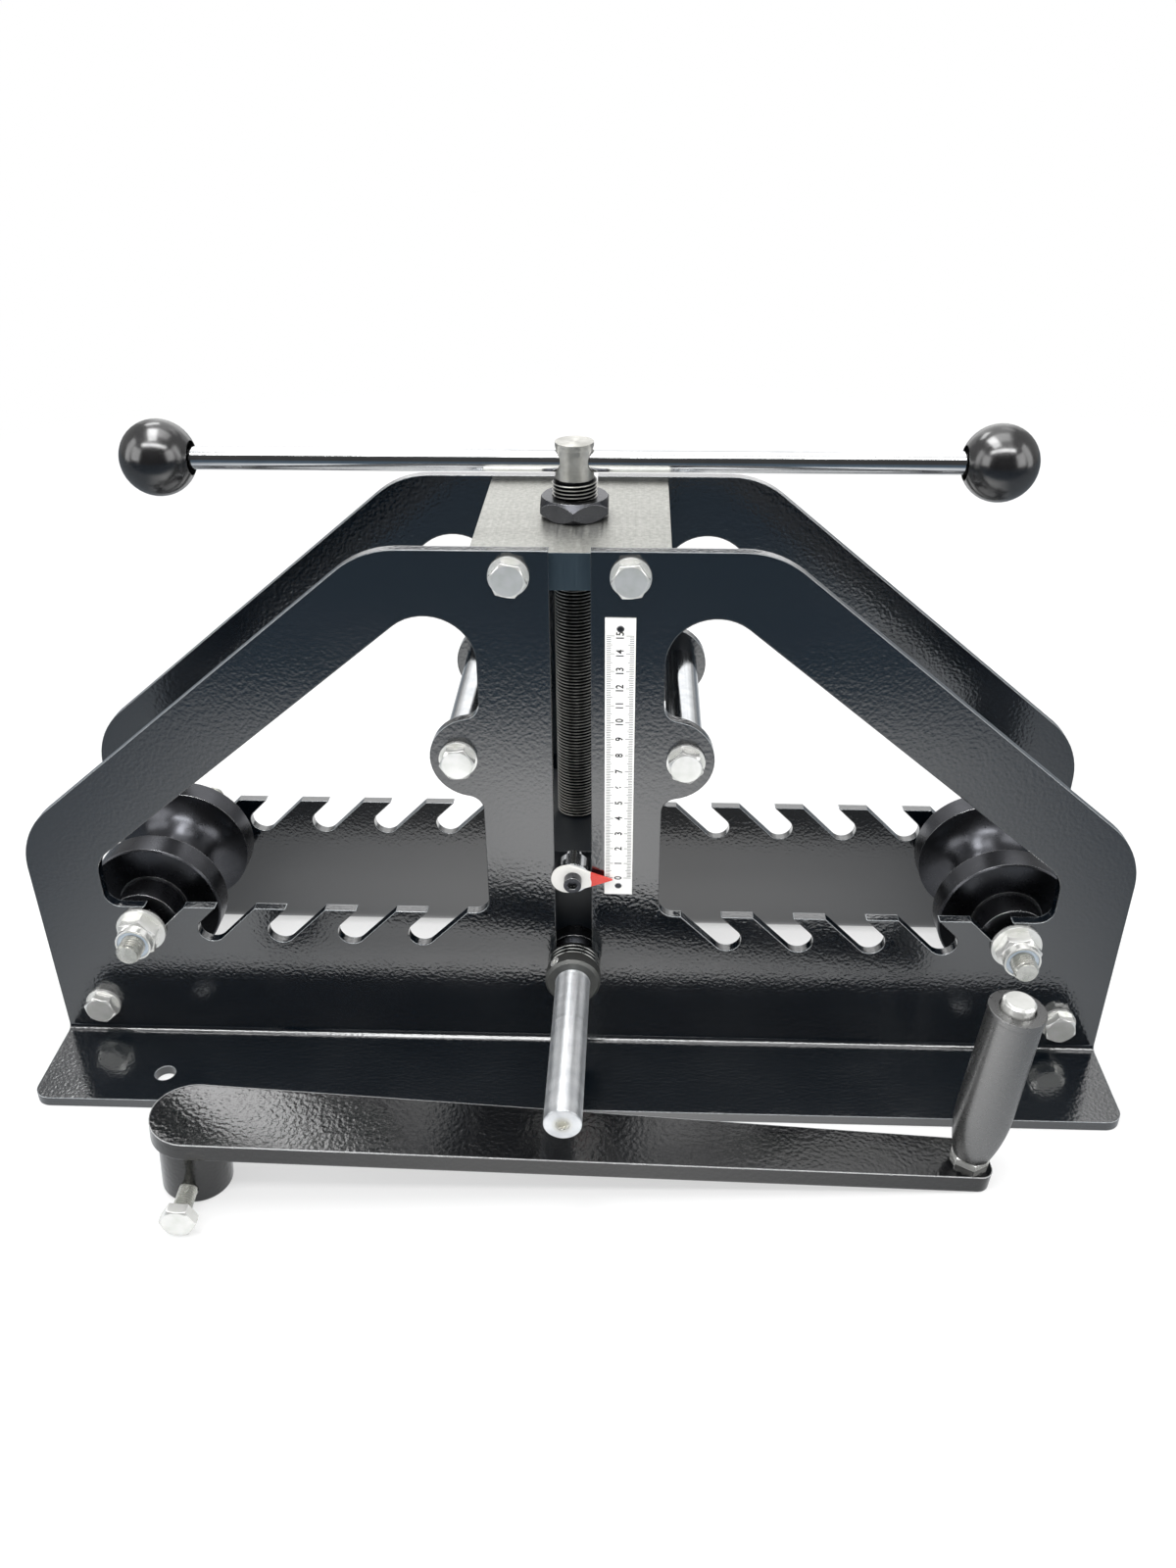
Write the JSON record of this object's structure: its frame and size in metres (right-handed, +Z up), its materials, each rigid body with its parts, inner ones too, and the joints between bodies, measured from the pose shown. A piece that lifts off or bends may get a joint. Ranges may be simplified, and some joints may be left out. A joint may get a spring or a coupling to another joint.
{
  "type": "roll bender",
  "caption": "Manual roll bender for tube and bar: bent side plates with hook slots, grooved rollers, a screw-fed carriage with scale and pointer, and a loose crank.",
  "frame": {"origin": "centre of the four base holes, on the surface the flanges stand on", "axes": "+Z up, +X along the side plates, -Y towards the crank side"},
  "size_m": [0.632, 0.343, 0.3684],
  "materials": {
    "black_coat": "black powder coat with fine orange peel",
    "ground_steel": "ground and turned bare steel",
    "zinc_plate": "zinc plated",
    "chrome": "hard chrome, polished",
    "black_oxide": "black oxide, oiled",
    "black_plastic": "moulded, glossy",
    "scale_face": "matt white print on steel strip",
    "pointer_paint": "white with a red tip",
    "blue_nylon": "nylon locking ring",
    "bronze": "sintered bronze"
  },
  "bodies": {
    "frame": {"front_plate": "black_coat", "rear_plate": "black_coat", "top_block": "ground_steel", "block_bolts": "zinc_plate", "middle_spacers": "chrome", "middle_bolts": "zinc_plate", "lower_spacers": "chrome", "lower_bolts": "zinc_plate", "bolt_washers": "zinc_plate", "scale_strip": "scale_face", "scale_rivets": "black_oxide", "left_axle": "ground_steel", "right_axle": "ground_steel", "left_hubs": "black_oxide", "right_hubs": "black_oxide", "axle_washers": "zinc_plate", "axle_nuts": "zinc_plate", "nut_rings": "blue_nylon"},
    "left_roller": {"left_roller": "black_oxide", "left_bearings": "ground_steel"},
    "right_roller": {"right_roller": "black_oxide", "right_bearings": "ground_steel"},
    "carriage": {"carriage_yoke": "black_coat", "yoke_bushes": "bronze", "pointer_standoff": "chrome", "pointer": "pointer_paint", "pointer_screw": "black_oxide"},
    "press_screw": {"press_screw": "ground_steel", "screw_retainer": "ground_steel"},
    "tommy_bar": {"tommy_bar": "chrome", "ball_knobs": "black_plastic"},
    "drive_shaft": {"drive_shaft": "chrome", "drive_key": "ground_steel", "centre_roller": "black_oxide", "shaft_sleeves": "black_oxide", "shaft_washers": "chrome", "shaft_collars": "black_oxide", "collar_set_screws": "zinc_plate"},
    "lock_nut": {"lock_nut": "black_oxide"},
    "crank": {"crank_arm": "black_coat", "crank_boss": "black_coat", "grip_bolt": "zinc_plate", "grip_nut": "zinc_plate"},
    "crank_grip": {"crank_grip": "black_plastic"},
    "clamp_bolt": {"clamp_bolt": "zinc_plate"}
  },
  "joints": [
    {"name": "carriage_lift", "type": "slide", "parent": "frame", "child": "carriage", "axis": [0, 0, 1], "range_m": [0, 0.1501]},
    {"name": "press_turn", "type": "hinge", "parent": "carriage", "child": "press_screw", "pos_m": [0, 0, 0.319], "axis": [0, 0, 1], "range_deg": [0, 27000]},
    {"name": "tommy_bar_slide", "type": "slide", "parent": "press_screw", "child": "tommy_bar", "axis": [1, 0, 0], "range_m": [-0.19, 0.19]},
    {"name": "drive_turn", "type": "hinge", "parent": "carriage", "child": "drive_shaft", "pos_m": [0, 0, 0.065], "axis": [0, -1, 0], "continuous": true},
    {"name": "left_roller_spin", "type": "hinge", "parent": "frame", "child": "left_roller", "pos_m": [-0.2567, 0, 0.0842], "axis": [0, -1, 0], "continuous": true},
    {"name": "right_roller_spin", "type": "hinge", "parent": "frame", "child": "right_roller", "pos_m": [0.2567, 0, 0.0842], "axis": [0, -1, 0], "continuous": true},
    {"name": "lock_nut_loosen", "type": "slide", "parent": "frame", "child": "lock_nut", "axis": [0, 0, 1], "range_m": [0, 0.005]},
    {"name": "crank_lift_off", "type": "slide", "parent": "frame", "child": "crank", "axis": [0, -1, 0], "range_m": [0, 0.25]},
    {"name": "grip_spin", "type": "hinge", "parent": "crank", "child": "crank_grip", "pos_m": [0.21912, -0.15919, 0.00094], "axis": [0.0856, 0.0034, 0.9963], "continuous": true},
    {"name": "clamp_bolt_screw", "type": "slide", "parent": "crank", "child": "clamp_bolt", "axis": [0.0401, -0.9992, 0], "range_m": [-0.015, 0.006]}
  ],
  "couplings": [
    {"joint": "carriage_lift", "follows": "press_turn", "m_per_rad": 0.00031831}
  ]
}
